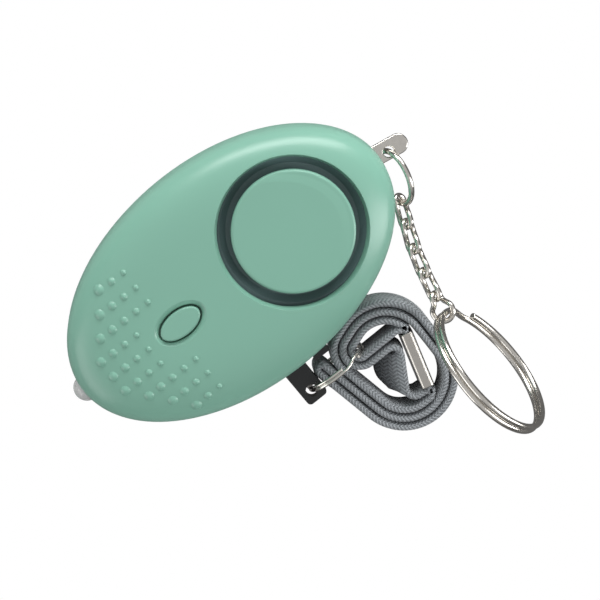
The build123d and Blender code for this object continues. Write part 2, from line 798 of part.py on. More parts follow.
strand_offset = tape_thickness / 2 - strand_squeeze
eye_course = (
    lap_place(-lap_reach, strand_offset),
    [
        (upper_wheel, upper_radius - 2 * tape_pitch),
        (eye_wheel, eye_radius),
        (eye_bend, -eye_bend_radius),
    ],
    lap_place(-lap_reach, -strand_offset),
)
loop_course = (
    lap_place(lap_run.length + lap_reach, -strand_offset),
    [
        (lower_bend, -lower_bend_radius),
        (upper_bend, upper_bend_radius),
        (eye_wheel, -(eye_radius + tape_pitch)),
        (upper_wheel, tape_pitch - upper_radius),
        (lower_wheel, tape_pitch - lower_radius),
        (bight_wheel, bight_radius),
        (lower_wheel, lower_radius),
        (upper_wheel, upper_radius),
        (eye_wheel, eye_radius + 2 * tape_pitch),
        (lower_wheel, lower_radius - 2 * tape_pitch),
        (tail_bend, tail_bend_radius),
    ],
    lap_place(lap_run.length + lap_reach, strand_offset),
)
with BuildPart() as wrist_strap:
    with BuildSketch(Plane.XY.offset(tape_lift)):
        tape_face(*eye_course)
        tape_face(*loop_course)
        with BuildLine():
            flare = lap_reach + lap_flare
            Polyline(
                lap_place(-flare, -strand_offset - lap_flare),
                lap_place(0, -lap_thickness / 2),
                lap_place(lap_run.length, -lap_thickness / 2),
                lap_place(lap_run.length + flare, -strand_offset - lap_flare),
                lap_place(lap_run.length + flare, strand_offset + lap_flare),
                lap_place(lap_run.length, lap_thickness / 2),
                lap_place(0, lap_thickness / 2),
                lap_place(-flare, strand_offset + lap_flare),
                close=True,
            )
        make_face()
    extrude(amount=tape_width)
    with BuildSketch(Plane.YZ.offset(strap_arch_left)):
        with Locations((pin_hole[1], strap_arch_height - strap_arch_radius)):
            Circle(strap_arch_radius)
    extrude(amount=strap_arch_right - strap_arch_left, mode=Mode.SUBTRACT)
wrist_strap.part.label = "wrist_strap"

# The least gap between two stretches of the tape that are not at the crimp, measured on points
crimp_mouths = [Vector(*lap_place(-lap_reach, 0)), Vector(*lap_place(lap_run.length + lap_reach, 0))]
free_points = []
for course_index, course in enumerate((eye_course, loop_course)):
    with BuildLine() as course_line:
        belt_line(*course)
    middle_line = course_line.wires()[0]
    count = int(middle_line.length / gap_sample_step)
    for step in range(count + 1):
        place = middle_line @ (step / count)
        if min((place - mouth).length for mouth in crimp_mouths) > 2.5 * tape_thickness:
            free_points.append((place.X, place.Y, course_index * case_length * case_width + step * gap_sample_step))
least_gap = min(
    hypot(x - other_x, y - other_y) - tape_thickness
    for x, y, length in free_points
    for other_x, other_y, other_length in free_points
    if other_length - length > gap_skip
)
print("Least gap between two stretches of the strap in mm:", round(least_gap, 3))

with BuildPart() as strap_crimp:
    with BuildSketch(Plane((*crimp_top, tape_lift + tape_width / 2), x_dir=lap_side, z_dir=lap_along)):
        Rectangle(
            lap_thickness + 2 * (crimp_clearance + crimp_wall), tape_width + 2 * (crimp_clearance + crimp_wall)
        )
        fillet(vertices(), crimp_corner)
        Rectangle(lap_thickness + 2 * crimp_clearance, tape_width + 2 * crimp_clearance, mode=Mode.SUBTRACT)
    extrude(amount=lap_run.length)
strap_crimp.part.label = "strap_crimp"

with BuildPart() as key_lug:
    lug_plane = Plane((lug_root[0], lug_root[1], lug_height)).rotated((0, 0, lug_turn))
    with BuildSketch(lug_plane):
        Rectangle(lug_length - lug_width / 2, lug_width, align=(Align.MIN, Align.CENTER))
        with Locations((lug_length - lug_width / 2, 0)):
            Circle(lug_width / 2)
        Rectangle(lug_anchor_length, lug_anchor_width, align=(Align.MIN, Align.CENTER))
    extrude(amount=lug_thickness)
    with BuildSketch(Plane.XY.offset(lug_height)):
        with Locations(lug_hole):
            Circle(lug_hole_radius)
    extrude(amount=lug_thickness, mode=Mode.SUBTRACT)
    chamfer(key_lug.edges().group_by(Axis.Z)[-1], lug_edge_bevel)
key_lug.part.label = "key_lug"

jump_centre = Vector(*lug_hole, lug_height + lug_thickness / 2) + jump_reach.normalized() * jump_radius
with BuildPart() as jump_ring:
    with BuildLine(Plane(jump_centre, x_dir=jump_reach, z_dir=jump_normal)):
        jump_line = CenterArc((0, 0), jump_radius, 0, 360)
    with BuildSketch(Plane(jump_line @ 0, z_dir=jump_line % 0)):
        Circle(jump_wire / 2)
    sweep(path=jump_line)
jump_ring.part.label = "jump_ring"

# The chain hangs on the jump ring; each link starts at one pivot and ends past the next
chain_steps = [
    Vector(*turned(cos(radians(chain_slope)), 0, heading), sin(radians(chain_slope))) * pitch
    for pitch, heading in zip(chain_pitches, chain_headings)
]
jump_end = jump_centre + jump_reach.normalized() * jump_radius
chain_pivots = [jump_end - chain_steps[0].normalized() * (jump_wire + chain_play) / 2]
for step in chain_steps:
    chain_pivots.append(chain_pivots[-1] + step)

with BuildPart() as chain_link_1:
    twisted_link(chain_pivots[0], chain_pivots[1], chain_width, chain_width, chain_twist, -chain_twist)
chain_link_1.part.label = "chain_link_1"

with BuildPart() as chain_link_2:
    twisted_link(chain_pivots[1], chain_pivots[2], chain_width, chain_width, chain_twist, -chain_twist)
chain_link_2.part.label = "chain_link_2"

with BuildPart() as chain_link_3:
    twisted_link(chain_pivots[2], chain_pivots[3], chain_width, chain_width, chain_twist, -chain_twist)
chain_link_3.part.label = "chain_link_3"

with BuildPart() as chain_link_4:
    twisted_link(chain_pivots[3], chain_pivots[4], chain_width, chain_width, chain_twist, -chain_twist)
chain_link_4.part.label = "chain_link_4"

with BuildPart() as end_link:
    twisted_link(
        chain_pivots[4], chain_pivots[5], chain_width, chain_last_width, chain_twist, chain_last_twist
    )
end_link.part.label = "end_link"

# The key ring passes through the end link with the chain's play
last_run = chain_steps[-1].normalized()
key_ring_hold = chain_pivots[-1] - last_run * (key_ring_wire + chain_play) / 2
key_ring_reach = (last_run - key_ring_normal * last_run.dot(key_ring_normal)).normalized()
key_ring_centre = key_ring_hold + key_ring_reach * key_ring_radius
with BuildPart() as key_ring:
    split_ring(
        key_ring_centre, key_ring_normal, key_ring_normal.cross(Vector(0, 0, 1)),
        key_ring_radius, key_ring_wire, key_ring_turn_gap, key_ring_split,
    )
key_ring.part.label = "key_ring"

# Where the hinges and mounts are, for the record
print("Jump ring centre and end:", jump_centre, jump_end)
for index, pivot in enumerate(chain_pivots):
    print("Chain pivot", index, pivot)
print("Key ring hold, reach and centre:", key_ring_hold, key_ring_reach, key_ring_centre)
print("Key ring underside height:", key_ring.part.bounding_box().min.Z)

export_step(front_cover.part, "parts/front_cover.step")
export_step(rear_cover.part, "parts/rear_cover.step")
export_step(case_screws.part, "parts/case_screws.step")
export_step(sound_ring.part, "parts/sound_ring.step")
export_step(speaker_cap.part, "parts/speaker_cap.step")
export_step(piezo_gasket.part, "parts/piezo_gasket.step")
export_step(piezo_plate.part, "parts/piezo_plate.step")
export_step(piezo_ceramic.part, "parts/piezo_ceramic.step")
export_step(piezo_wires.part, "parts/piezo_wires.step")
export_step(led_button.part, "parts/led_button.step")
export_step(switch_plunger.part, "parts/switch_plunger.step")
export_step(button_switch.part, "parts/button_switch.step")
export_step(led_lamp.part, "parts/led_lamp.step")
export_step(led_leads.part, "parts/led_leads.step")
export_step(circuit_board.part, "parts/circuit_board.step")
export_step(button_cells.part, "parts/button_cells.step")
export_step(cell_contacts.part, "parts/cell_contacts.step")
export_step(driver_chip.part, "parts/driver_chip.step")
export_step(boost_coil.part, "parts/boost_coil.step")
export_step(coil_winding.part, "parts/coil_winding.step")
export_step(transistor.part, "parts/transistor.step")
export_step(pin_contacts.part, "parts/pin_contacts.step")
export_step(pull_pin.part, "parts/pull_pin.step")
export_step(pin_ring.part, "parts/pin_ring.step")
export_step(wrist_strap.part, "parts/wrist_strap.step")
export_step(strap_crimp.part, "parts/strap_crimp.step")
export_step(key_lug.part, "parts/key_lug.step")
export_step(jump_ring.part, "parts/jump_ring.step")
export_step(chain_link_1.part, "parts/chain_link_1.step")
export_step(chain_link_2.part, "parts/chain_link_2.step")
export_step(chain_link_3.part, "parts/chain_link_3.step")
export_step(chain_link_4.part, "parts/chain_link_4.step")
export_step(end_link.part, "parts/end_link.step")
export_step(key_ring.part, "parts/key_ring.step")
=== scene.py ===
from itertools import pairwise
from math import acos, atan2, cos, degrees, dist, pi, radians, sin

import bmesh
import bpy
from bpy.props import FloatProperty, FloatVectorProperty, PointerProperty
from mathutils import Matrix, Vector


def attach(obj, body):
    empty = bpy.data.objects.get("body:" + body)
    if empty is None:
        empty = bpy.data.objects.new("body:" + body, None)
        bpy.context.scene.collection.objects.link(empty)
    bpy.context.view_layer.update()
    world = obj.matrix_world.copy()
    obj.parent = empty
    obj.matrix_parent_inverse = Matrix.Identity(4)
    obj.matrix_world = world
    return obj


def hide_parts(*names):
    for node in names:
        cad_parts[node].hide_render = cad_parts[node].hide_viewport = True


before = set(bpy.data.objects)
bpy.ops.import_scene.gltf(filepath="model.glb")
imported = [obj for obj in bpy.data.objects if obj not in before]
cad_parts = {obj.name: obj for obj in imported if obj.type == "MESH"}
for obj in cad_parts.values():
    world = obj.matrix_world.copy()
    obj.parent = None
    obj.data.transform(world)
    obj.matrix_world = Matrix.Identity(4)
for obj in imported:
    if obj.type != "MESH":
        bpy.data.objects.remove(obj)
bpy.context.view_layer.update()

bl_info = {
    "name": "Keyring safety alarm looks",
    "version": (1, 0, 0),
    "blender": (4, 5, 0),
    "location": "3D View > Sidebar > Safety alarm",
    "description": "Finishes, braided strap and studio for a keyring safety alarm",
    "category": "Object",
}

MM = 0.001


def node_box(name):
    """The lowest and the highest corner of a solid's box, in millimetres."""
    corners = [Vector(corner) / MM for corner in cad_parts[name].bound_box]
    return [Vector([pick(axis) for axis in zip(*corners)]) for pick in (min, max)]


COVER_LOW, _ = node_box("front_cover")
STRAP_LOW, STRAP_HIGH = node_box("wrist_strap")
LAMP_LOW, LAMP_HIGH = node_box("led_lamp")

# The case's two domes, in millimetres, which follow the solids; a depth is from the parting line
CASE_HALF_LENGTH = 34.0
CASE_HALF_WIDTH = 21.0
CASE_HEIGHT = 20.0
PARTING_HEIGHT = COVER_LOW.z
FRONT_DOME = {"depth": CASE_HEIGHT - PARTING_HEIGHT, "roundness": 4.0, "flat_share": 0.12}
REAR_DOME = {"depth": -PARTING_HEIGHT, "roundness": 2.6, "flat_share": 0.35}

# The grip dots, in millimetres, which follow the solids; columns count towards the lamp
DOT_FIRST_X = -18.8
DOT_PITCH_X = 2.65
DOT_PITCH_Y = 3.3
DOT_REACH = 0.95
DOT_LAST_COLUMN = 3
DOT_OUTER_ROW = 2
DOT_OUTER_LEAD = 2

# How the dome's smooth normal fades out where the surface leaves the dome or turns away from it
DOME_FADE_START = 2.3
DOME_FADE_SLOPE = 65.0
FACING_SLOPE = 8.0
LEAST_FACING_SHARE = 0.8

# Limits that keep the dome's powers and divisions finite
LEAST_SQUARE = 0.000001
LEAST_SHARE = 0.0001
MOST_SHARE = 2.0

# The radii, in millimetres, that edges look rounded to, and the samples that this takes
SHELL_EDGE = {"radius": 0.25, "samples": 4}
PLASTIC_EDGE = {"radius": 0.15, "samples": 4}
METAL_EDGE = {"radius": 0.38, "samples": 10}

# Heights of surface marks, in millimetres, and how much finer brushed ones are along each axis
PLASTIC_GRAIN = 0.02
PLATED_MARKS = 0.0006
BRUSHED_MARKS = 0.006
BRAID_RELIEF = 0.13
BRUSHED_FINENESS = (6.0, 6.0, 0.3)

# The braid: how far a rib climbs across its column, how round the ribs and steep the grooves are,
# and what share of the height and the tint comes from each; the tint from ribs and grooves is painted
# shade, darker between ribs and where columns meet, and the tint from fuzz is the yarn's own uneven tone
RIB_CLIMB_SHARE = 0.9
RIB_POWER = 0.6
GROOVE_SLOPE = 6.0
HEIGHT_SHARES = {"groove": 0.3, "fuzz": 0.3}
SHADE_AND_FUZZ_TINT_SHARES = {"rib": 0.55, "groove": 0.2, "fuzz": 0.35}

# Colours that the clear lamp and the pale floor vary between, and roughness that varies about a middle
LAMP_COLOURS = ((0.93, 0.95, 0.94), (1.0, 1.0, 1.0))
FLOOR_COLOURS = ((0.8, 0.8, 0.8), (0.84, 0.84, 0.84))
LAMP_ROUGHNESS = 0.09
BRAID_ROUGHNESS = 0.85

# The strap seen from above, in millimetres: wheels that the tape bends round, and the clip's two ends
TAPE_PITCH = 1.67
UPPER_WHEEL, UPPER_RADIUS = (12.7, -29.6), 8.9
LOWER_WHEEL, LOWER_RADIUS = (12.2, -36.0), 9.3
EYE_WHEEL, EYE_RADIUS = (9.2, -26.5), 1.5
BIGHT_WHEEL, BIGHT_RADIUS = (1.43, -25.0), 0.85
EYE_BEND, EYE_BEND_RADIUS = (16.3, -28.75), 0.8
UPPER_BEND, UPPER_BEND_RADIUS = (13.2, -31.3), 1.6
LOWER_BEND, LOWER_BEND_RADIUS = (12.5, -38.7), 1.5
TAIL_BEND, TAIL_BEND_RADIUS = (13.55, -40.95), 1.0
CRIMP_TOP, CRIMP_BOTTOM = (17.7, -29.3), (14.65, -39.8)
LAP_REACH = 0.7
STRAND_OFFSET = 0.5
POINT_SPACING = 0.3

# The stretch of tape that leans, and the arch over the small split ring, in millimetres
LEAN_BAND = 1.9
LEAN_FULLNESS_SHARE = 0.28
ARCH_HALF_SPAN = 2.4
ARCH_FROM_X, ARCH_TO_X = -1.0, 9.0

# The tape's edge view: how many corners each side has, and how its edges are rounded
SIDE_CORNERS = 7
EDGE_POWER = 6
EDGE_ROUNDING_SHARE = 0.45

# The metal inside the clear lamp, in millimetres, each piece placed from the lamp's tip
LAMP_MIDDLE = (LAMP_LOW + LAMP_HIGH) / 2
LAMP_TIP = Vector((LAMP_LOW.x, LAMP_MIDDLE.y, LAMP_MIDDLE.z))
LAMP_METAL = {
    "lamp_cup": {"radius": 0.9, "depth": 1.6, "offset": Vector((4.2, 0.7, 0.0))},
    "lamp_post": {"radius": 0.35, "depth": 2.4, "offset": Vector((4.6, -1.0, 0.0))},
}
LAMP_METAL_END_SHARE = 0.7
LAMP_METAL_SIDES = 24

# The camera, in millimetres, as fitted to the photo
CAMERA_PLACE = Vector((30.6, 47.8, 323.9))
CAMERA_TARGET = Vector((6.5, -12.1, 9.0))
CAMERA_UP = Vector((0.6233, 0.7581, -0.1919))
CAMERA_LENS = 105.9
CAMERA_SENSOR = 36.0
CAMERA_CLIP = 10.0

# The floor and the lights, in millimetres; a light's place is measured from the camera's target,
# along the picture's up and right and straight up
FLOOR_HALF_WIDTH = 1500.0
FLOOR_DROP = 0.05
LIGHTS = {
    "key": {"up": 500, "right": 0, "rise": 260, "sides": (600, 200)},
    "fill": {"up": -300, "right": -450, "rise": 160, "sides": (500, 300)},
    "side": {"up": -80, "right": 500, "rise": 180, "sides": (200, 500)},
}

# The sky is dim below one height and full above another, as shares of straight up
SKY_DIM_SHARE = 0.1
SKY_FULL_SHARE = 0.75


class AlarmShellSettings(bpy.types.PropertyGroup):
    colour: FloatVectorProperty(
        name="Colour", description="Colour of the case", subtype="COLOR", size=3, min=0, max=1,
        default=(0.205, 0.425, 0.33),
    )
    roughness: FloatProperty(
        name="Roughness", description="How soft the case's shine is", default=0.31, min=0, max=1,
    )
    grain: FloatProperty(
        name="Grain", description="Height of the moulded grain", default=0.01 * MM, unit="LENGTH",
    )


class AlarmStrapSettings(bpy.types.PropertyGroup):
    width: FloatProperty(
        name="Width", description="Width of the tape", default=(STRAP_HIGH.z - STRAP_LOW.z) * MM,
        unit="LENGTH",
    )
    thickness: FloatProperty(
        name="Thickness", description="Thickness of the tape", default=1.6 * MM, unit="LENGTH",
    )
    lift: FloatProperty(
        name="Lift", description="Height of the tape's lower edge", default=STRAP_LOW.z * MM, unit="LENGTH",
    )
    lean: FloatProperty(
        name="Lean", description="How far the lower edge of the inner stretch leans out",
        default=4.6 * MM, unit="LENGTH",
    )
    arch: FloatProperty(
        name="Arch", description="Height of the arch over the small split ring",
        default=4.0 * MM, unit="LENGTH",
    )
    braid_pitch: FloatProperty(
        name="Braid pitch", description="Length of one rib of the braid", default=0.72 * MM, unit="LENGTH",
    )
    braid_column: FloatProperty(
        name="Braid column", description="Width of one slanting column of the braid",
        default=1.1 * MM, unit="LENGTH",
    )
    colour: FloatVectorProperty(
        name="Colour", description="Colour of the yarn", subtype="COLOR", size=3, min=0, max=1,
        default=(0.27, 0.288, 0.305),
    )


class AlarmStageSettings(bpy.types.PropertyGroup):
    key_power: FloatProperty(
        name="Key power", description="Strength of the main light", default=3.0, unit="POWER",
    )
    side_power: FloatProperty(
        name="Side power", description="Strength of the side light", default=1.8, unit="POWER",
    )
    fill_power: FloatProperty(
        name="Fill power", description="Strength of the light from below left", default=1.0, unit="POWER",
    )
    surround: FloatProperty(
        name="Surround", description="Strength of the even light overhead", default=0.56, min=0,
    )
    horizon_share: FloatProperty(
        name="Horizon share", description="Light at the horizon as a share of that overhead",
        default=0.12, min=0, max=1,
    )
    floor_mirrored: FloatProperty(
        name="Floor mirrored", description="How bright the floor looks in shiny pieces",
        default=0.16, min=0,
    )


def overload(operation):
    """One of Wire's operators, and its reflected form."""

    def forward(self, other):
        return self.nodes.maths(operation, self, other)

    def reflected(self, other):
        return self.nodes.maths(operation, other, self)

    return forward, reflected


class Wire:
    """A socket that Python's operators can work on."""

    __add__, __radd__ = overload("ADD")
    __sub__, __rsub__ = overload("SUBTRACT")
    __mul__, __rmul__ = overload("MULTIPLY")
    __truediv__, __rtruediv__ = overload("DIVIDE")
    __pow__, __rpow__ = overload("POWER")

    def __init__(self, nodes, socket, is_vector=False):
        self.nodes = nodes
        self.socket = socket
        self.is_vector = is_vector


class Nodes:
    """A node tree to add to, with Wires between its nodes."""

    def __init__(self, tree):
        self.tree = tree

    def node(self, kind, settings=None, values=None, output=0, is_vector=False):
        """Add a node, with its settings and its inputs' values or wires, and hand back one output."""
        made = self.tree.nodes.new(kind)
        for label, value in (settings or {}).items():
            setattr(made, label, value)
        for label, value in (values or {}).items():
            if isinstance(value, Wire):
                self.tree.links.new(value.socket, made.inputs[label])
            else:
                made.inputs[label].default_value = value
        return Wire(self, made.outputs[output], is_vector)

    def maths(self, operation, *operands):
        """A Math node, or a Vector Math node where one of the operands is a vector."""
        if not any(isinstance(item, Wire) and item.is_vector for item in operands):
            return self.node("ShaderNodeMath", {"operation": operation}, dict(enumerate(operands)))
        spread = {
            index: item if isinstance(item, (Wire, tuple)) else (item,) * 3
            for index, item in enumerate(operands)
        }
        return self.node("ShaderNodeVectorMath", {"operation": operation}, spread, is_vector=True)

    def limit(self, value, low=0.0, high=1.0):
        return self.node("ShaderNodeClamp", values={"Value": value, "Min": low, "Max": high})

    def place(self):
        """The shading point in the object's own frame, in millimetres."""
        return self.node("ShaderNodeTexCoord", output="Object", is_vector=True) / MM

    def parts(self, vector):
        """The three numbers of a vector."""
        split = self.node("ShaderNodeSeparateXYZ", values={0: vector})
        return [Wire(self, output) for output in split.socket.node.outputs]

    def join(self, x, y, z):
        return self.node("ShaderNodeCombineXYZ", values={0: x, 1: y, 2: z}, is_vector=True)

    def noise(self, place, scale, detail=2.0):
        return self.node("ShaderNodeTexNoise", values={"Vector": place, "Scale": scale, "Detail": detail})

    def mix(self, factor, first, second):
        values = {0: factor, 6: (*first, 1.0), 7: (*second, 1.0)}
        return self.node("ShaderNodeMix", {"data_type": "RGBA"}, values, output=2)

    def tint(self, texture, colour, dark_share, light_share):
        """A colour that goes from darker to lighter with a texture."""
        return self.mix(texture, shade(colour, dark_share), shade(colour, light_share))

    def bump(self, texture, height, normal=None):
        """A normal that follows a texture, up to a height in millimetres."""
        values = {"Height": texture, "Distance": height * MM}
        if normal:
            values["Normal"] = normal
        return self.node("ShaderNodeBump", values=values, is_vector=True)

    def rounded(self, radius, samples):
        """The surface's normal, with edges that look rounded."""
        return self.node("ShaderNodeBevel", {"samples": samples}, {"Radius": radius * MM}, is_vector=True)


class Shader(Nodes):
    """One material's nodes, with a surface shader to feed."""

    def __init__(self, name, **surface):
        self.material = bpy.data.materials.new(name)
        self.material.use_nodes = True
        super().__init__(self.material.node_tree)
        self.surface = self.tree.nodes["Principled BSDF"]
        for label, value in surface.items():
            self.surface.inputs[label.replace("_", " ").title().replace("Ior", "IOR")].default_value = value

    def feed(self, label, wire):
        self.tree.links.new(wire.socket, self.surface.inputs[label])


def shade(colour, share):
    return tuple(min(channel * share, 1.0) for channel in colour)


def varied(value, texture, amount, middle=0.5):
    """A value that goes up and down with a texture."""
    return value + amount * (texture - middle)


def dome_normal(shader, x, y, z, dome):
    """The smooth outward normal of one of the case's domes, and how far the point is off that dome."""
    flat_share, roundness = dome["flat_share"], dome["roundness"]
    spread = ((x / CASE_HALF_LENGTH) ** 2 + (y / CASE_HALF_WIDTH) ** 2 + LEAST_SQUARE) ** 0.5
    share = shader.limit((spread - flat_share) / (1 - flat_share), LEAST_SHARE, MOST_SHARE)
    rise = shader.limit((z - PARTING_HEIGHT) / dome["depth"], 0.0, MOST_SHARE)
    sideways = share ** (roundness - 1) / spread / (1 - flat_share)
    normal = shader.join(
        sideways * x / CASE_HALF_LENGTH**2,
        sideways * y / CASE_HALF_WIDTH**2,
        rise ** (roundness - 1) / dome["depth"],
    )
    return shader.maths("NORMALIZE", normal), share**roundness + rise**roundness - 1


def dot_mask(shader, x, y):
    """One within the grip dots and nothing elsewhere; outer rows start nearer the button and end sooner."""
    aside = shader.maths("ABSOLUTE", y)
    column = shader.maths("ROUND", (DOT_FIRST_X - x) / DOT_PITCH_X)
    row = shader.maths("ROUND", aside / DOT_PITCH_Y)
    off_x = x - (DOT_FIRST_X - column * DOT_PITCH_X)
    off_y = aside - row * DOT_PITCH_Y
    near = shader.maths("LESS_THAN", off_x**2 + off_y**2, DOT_REACH**2)
    first = -DOT_OUTER_LEAD * shader.maths("GREATER_THAN", row, DOT_OUTER_ROW - 0.5)
    last = DOT_LAST_COLUMN - shader.maths("MAXIMUM", row - 1, 0)
    begun = shader.maths("GREATER_THAN", column, first - 0.5)
    unfinished = shader.maths("LESS_THAN", column, last + 0.5)
    return near * begun * unfinished


def shell_material(settings):
    """Moulded plastic with fine grain, smoothly curved where the solids have narrow bands."""
    shader = Shader("mint shell", coat_weight=0.12, coat_roughness=0.25, specular_ior_level=0.45)
    place = shader.place()
    x, y, z = shader.parts(place)
    facet = shader.rounded(**SHELL_EDGE)
    front_normal, front_off = dome_normal(shader, x, y, z, FRONT_DOME)
    rear_normal, rear_off = dome_normal(shader, x, y, z, REAR_DOME)
    on_front = shader.maths("GREATER_THAN", z, PARTING_HEIGHT)
    normal = rear_normal + on_front * (front_normal - rear_normal)
    off = rear_off + on_front * (front_off - rear_off)
    near_dome = shader.limit(DOME_FADE_START - DOME_FADE_SLOPE * shader.maths("ABSOLUTE", off))
    facing = shader.node(
        "ShaderNodeVectorMath", {"operation": "DOT_PRODUCT"}, {0: facet, 1: normal}, output="Value",
    )
    along_dome = shader.limit(FACING_SLOPE * (facing - LEAST_FACING_SHARE))
    on_dome = near_dome * along_dome * (1 - dot_mask(shader, x, y))
    smooth = facet + on_dome * (normal - facet)
    grain = shader.noise(place, scale=5.5, detail=3.0)
    broad = shader.noise(place, scale=0.06)
    shader.feed("Normal", shader.bump(grain, settings.grain / MM, smooth))
    shader.feed("Roughness", varied(varied(settings.roughness, grain, amount=0.08), broad, amount=0.05))
    shader.feed("Base Color", shader.tint(broad, settings.colour, dark_share=0.97, light_share=1.03))
    return shader.material


def plastic_material(name, colour, roughness):
    """Plain moulded plastic with a speckle."""
    shader = Shader(name, specular_ior_level=0.45)
    speckle = shader.noise(shader.place(), scale=3.0, detail=3.0)
    shader.feed("Normal", shader.bump(speckle, PLASTIC_GRAIN, shader.rounded(**PLASTIC_EDGE)))
    shader.feed("Roughness", varied(roughness, speckle, amount=0.12))
    shader.feed("Base Color", shader.tint(speckle, colour, dark_share=0.9, light_share=1.1))
    return shader.material


def metal_material(name, colour, roughness, brushed=False):
    """Plated or brushed metal, with faint handling marks."""
    shader = Shader(name, metallic=1.0)
    place = shader.place()
    marks = shader.noise(place * BRUSHED_FINENESS if brushed else place, scale=1.2, detail=4.0)
    height = BRUSHED_MARKS if brushed else PLATED_MARKS
    shader.feed("Normal", shader.bump(marks, height, shader.rounded(**METAL_EDGE)))
    shader.feed("Roughness", varied(roughness, marks, amount=0.12, middle=0.4))
    shader.feed("Base Color", shader.tint(marks, colour, dark_share=0.88, light_share=1.08))
    return shader.material


def lamp_material():
    """Clear moulded lamp with a faint swirl."""
    shader = Shader("clear lamp", transmission_weight=0.5, ior=1.5)
    swirl = shader.noise(shader.place(), scale=0.5)
    shader.feed("Base Color", shader.mix(swirl, *LAMP_COLOURS))
    shader.feed("Roughness", varied(LAMP_ROUGHNESS, swirl, amount=0.1))
    return shader.material


def strap_material(settings):
    """Herringbone braid: ribs slant to and fro in columns that run along both faces of the tape."""
    shader = Shader("grey braid", specular_ior_level=0.25, sheen_weight=0.25, sheen_roughness=0.5)
    along, around, _ = shader.parts(shader.node("ShaderNodeUVMap", {"uv_map": "tape"}, is_vector=True))
    width = settings.width / MM
    column = settings.braid_column / MM
    across = shader.maths("PINGPONG", around * (2 * width), width)
    slant = shader.maths("PINGPONG", across, column) / column
    turns = along * (MM / settings.braid_pitch) + RIB_CLIMB_SHARE * slant
    rib = 0.5 + 0.5 * shader.maths("SINE", 2 * pi * turns)
    groove = shader.limit(GROOVE_SLOPE * slant) * shader.limit(GROOVE_SLOPE * (1 - slant))
    fuzz = shader.noise(shader.place(), scale=4.0, detail=4.0)
    height = rib**RIB_POWER + HEIGHT_SHARES["groove"] * groove + HEIGHT_SHARES["fuzz"] * fuzz
    # Painted shade: the yarn is tinted darker between ribs and where columns meet, plus its own uneven tone
    # from the fuzz
    light = SHADE_AND_FUZZ_TINT_SHARES["rib"] * rib + SHADE_AND_FUZZ_TINT_SHARES["groove"] * groove + SHADE_AND_FUZZ_TINT_SHARES["fuzz"] * fuzz
    shader.feed("Normal", shader.bump(height, BRAID_RELIEF))
    shader.feed("Roughness", varied(BRAID_ROUGHNESS, fuzz, amount=0.2))
    # The wide spread from the dark share to the light share paints shade into the braid's dips and lighter
    # rib crests
    shader.feed(
        "Base Color", shader.tint(shader.limit(light), settings.colour, dark_share=0.36, light_share=1.42),
    )
    return shader.material


def cover_with(material, *names):
    for name in names:
        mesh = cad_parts[name].data
        mesh.materials.clear()
        mesh.materials.append(material)


def add_object(context, name, mesh, material):
    """Put a bmesh into the scene as an object with one material."""
    data = bpy.data.meshes.new(name)
    mesh.to_mesh(data)
    mesh.free()
    data.materials.append(material)
    made = bpy.data.objects.new(name, data)
    context.scene.collection.objects.link(made)
    return made


class ALARM_OT_case(bpy.types.Operator):
    """Finish the case, the sounder, the button and the pull pin"""

    bl_idname = "alarm.case"
    bl_label = "Finish the case"

    def execute(self, context):
        shell = shell_material(context.scene.alarm_shell)
        dark = plastic_material("dark ring", colour=(0.12, 0.18, 0.185), roughness=0.4)
        black = plastic_material("black pin", colour=(0.012, 0.013, 0.014), roughness=0.38)
        cover_with(shell, "front_cover", "rear_cover", "speaker_cap", "led_button")
        cover_with(dark, "sound_ring")
        cover_with(black, "pull_pin")
        return {"FINISHED"}


class ALARM_OT_metal(bpy.types.Operator):
    """Finish the lug, the rings, the chain and the strap's clip"""

    bl_idname = "alarm.metal"
    bl_label = "Finish the metal"

    def execute(self, context):
        nickel = metal_material("plated nickel", colour=(0.74, 0.71, 0.66), roughness=0.17)
        clip = metal_material("clip steel", colour=(0.56, 0.535, 0.495), roughness=0.28, brushed=True)
        links = [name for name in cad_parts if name.startswith("chain_link")]
        cover_with(nickel, "key_lug", "jump_ring", "end_link", "key_ring", "pin_ring", *links)
        cover_with(clip, "strap_crimp")
        return {"FINISHED"}


class ALARM_OT_inside(bpy.types.Operator):
    """Finish the pieces inside the case"""

    bl_idname = "alarm.inside"
    bl_label = "Finish the inside"

    def execute(self, context):
        steel = metal_material("bright steel", colour=(0.7, 0.7, 0.7), roughness=0.25)
        brass = metal_material("piezo brass", colour=(0.8, 0.6, 0.28), roughness=0.3)
        copper = metal_material("coil copper", colour=(0.8, 0.38, 0.2), roughness=0.3)
        black = plastic_material("black moulding", colour=(0.012, 0.012, 0.012), roughness=0.5)
        ceramic = plastic_material("piezo ceramic", colour=(0.75, 0.74, 0.7), roughness=0.5)
        red = plastic_material("red wire", colour=(0.5, 0.03, 0.02), roughness=0.35)
        green = plastic_material("green board", colour=(0.02, 0.13, 0.05), roughness=0.35)
        cover_with(steel, "case_screws", "led_leads", "button_cells", "cell_contacts", "pin_contacts")
        cover_with(brass, "piezo_plate")
        cover_with(copper, "coil_winding")
        cover_with(black, "button_switch", "switch_plunger", "driver_chip", "transistor")
        cover_with(black, "piezo_gasket", "boost_coil")
        cover_with(ceramic, "piezo_ceramic")
        cover_with(red, "piezo_wires")
        cover_with(green, "circuit_board")
        return {"FINISHED"}


def turned(angle):
    return Vector((cos(radians(angle)), sin(radians(angle))))


def bearing(centre, point):
    return degrees(atan2(point[1] - centre[1], point[0] - centre[0]))


